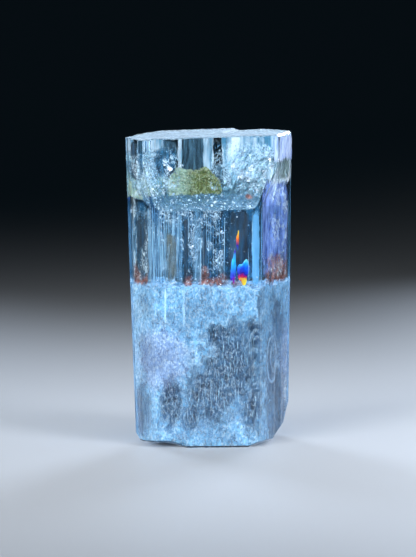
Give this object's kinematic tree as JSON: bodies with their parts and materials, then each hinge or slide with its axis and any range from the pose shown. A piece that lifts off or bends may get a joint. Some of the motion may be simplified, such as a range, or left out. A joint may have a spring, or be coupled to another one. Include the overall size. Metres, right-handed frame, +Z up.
{
  "type": "aquamarine crystal",
  "caption": "Free-standing pale blue aquamarine prism, clear above and milky below, with a yellow mineral grown into its back face",
  "frame": {"origin": "middle of the crystal's footprint box, on the surface it stands on", "axes": "+Z up along the prism, -Y out of the broad clean face, +X to the right as seen from that face"},
  "size_m": [0.0248, 0.0162, 0.0477],
  "materials": {
    "aquamarine": "clear natural crystal with striated faces, milky in its lower half",
    "yellow_mineral": "granular, dull to waxy"
  },
  "bodies": {
    "root": {"aquamarine_crystal": "aquamarine", "yellow_mineral_inclusion": "yellow_mineral"}
  },
  "joints": []
}
